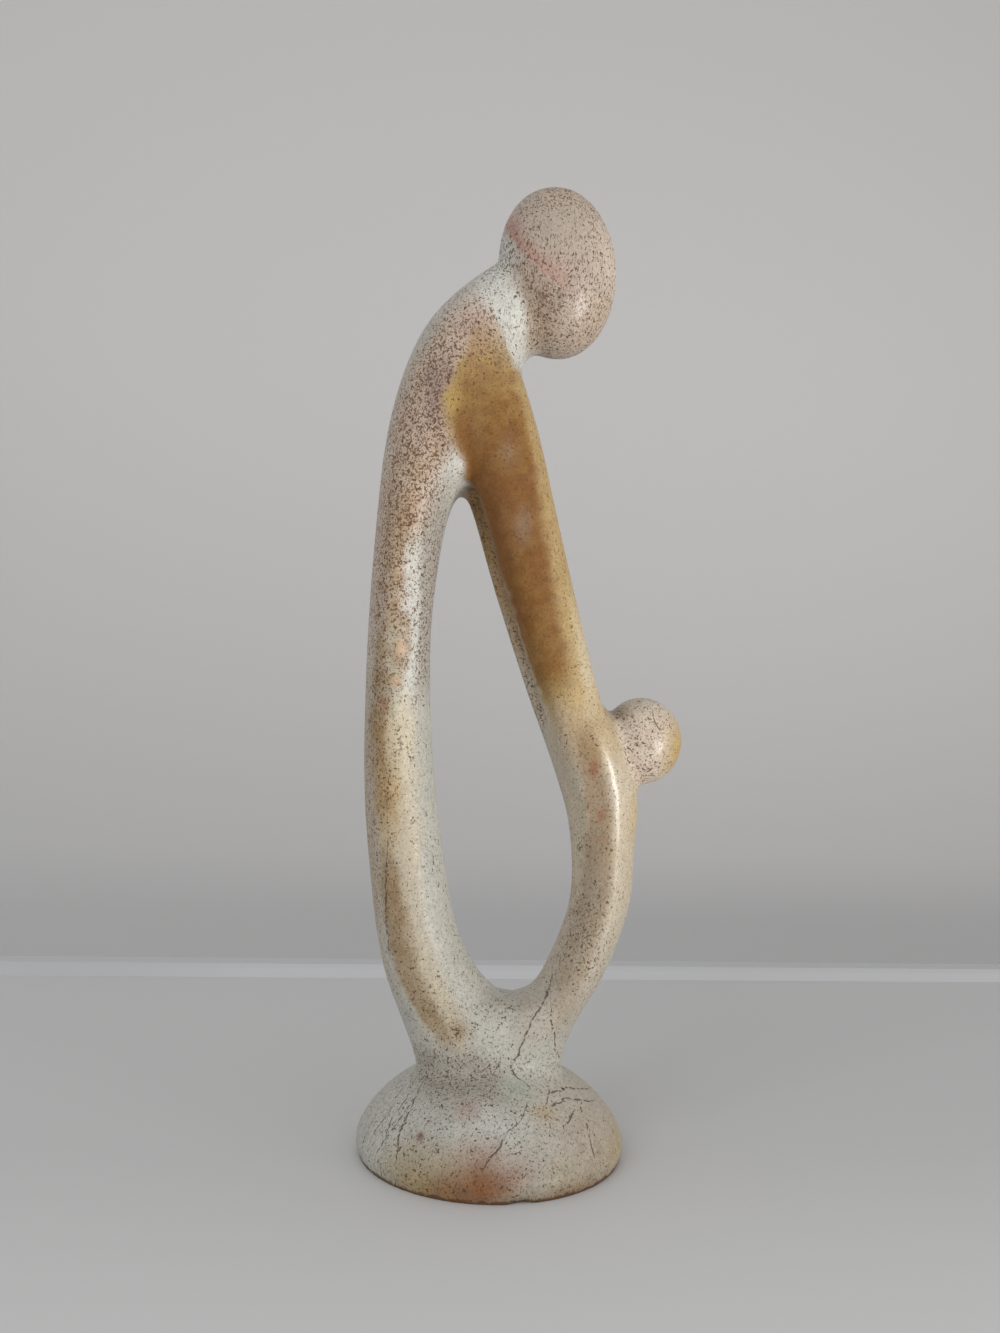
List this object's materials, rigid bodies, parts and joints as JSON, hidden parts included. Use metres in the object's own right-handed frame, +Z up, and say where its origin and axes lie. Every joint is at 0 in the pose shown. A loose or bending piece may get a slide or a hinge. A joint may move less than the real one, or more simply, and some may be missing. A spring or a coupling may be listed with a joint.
{
  "type": "sculpture",
  "caption": "Abstract carved stone mother bending over her child, their limbs forming an open loop above a round domed base.",
  "frame": {"origin": "centre of the round base's flat underside", "axes": "+X towards the side that the mother faces, +Y to her left, +Z up"},
  "size_m": [0.0835, 0.0668, 0.2535],
  "materials": {
    "stone": "polished and waxed, speckled, with amber and brown clouding"
  },
  "bodies": {
    "root": {"mother_and_child": "stone"}
  },
  "joints": []
}
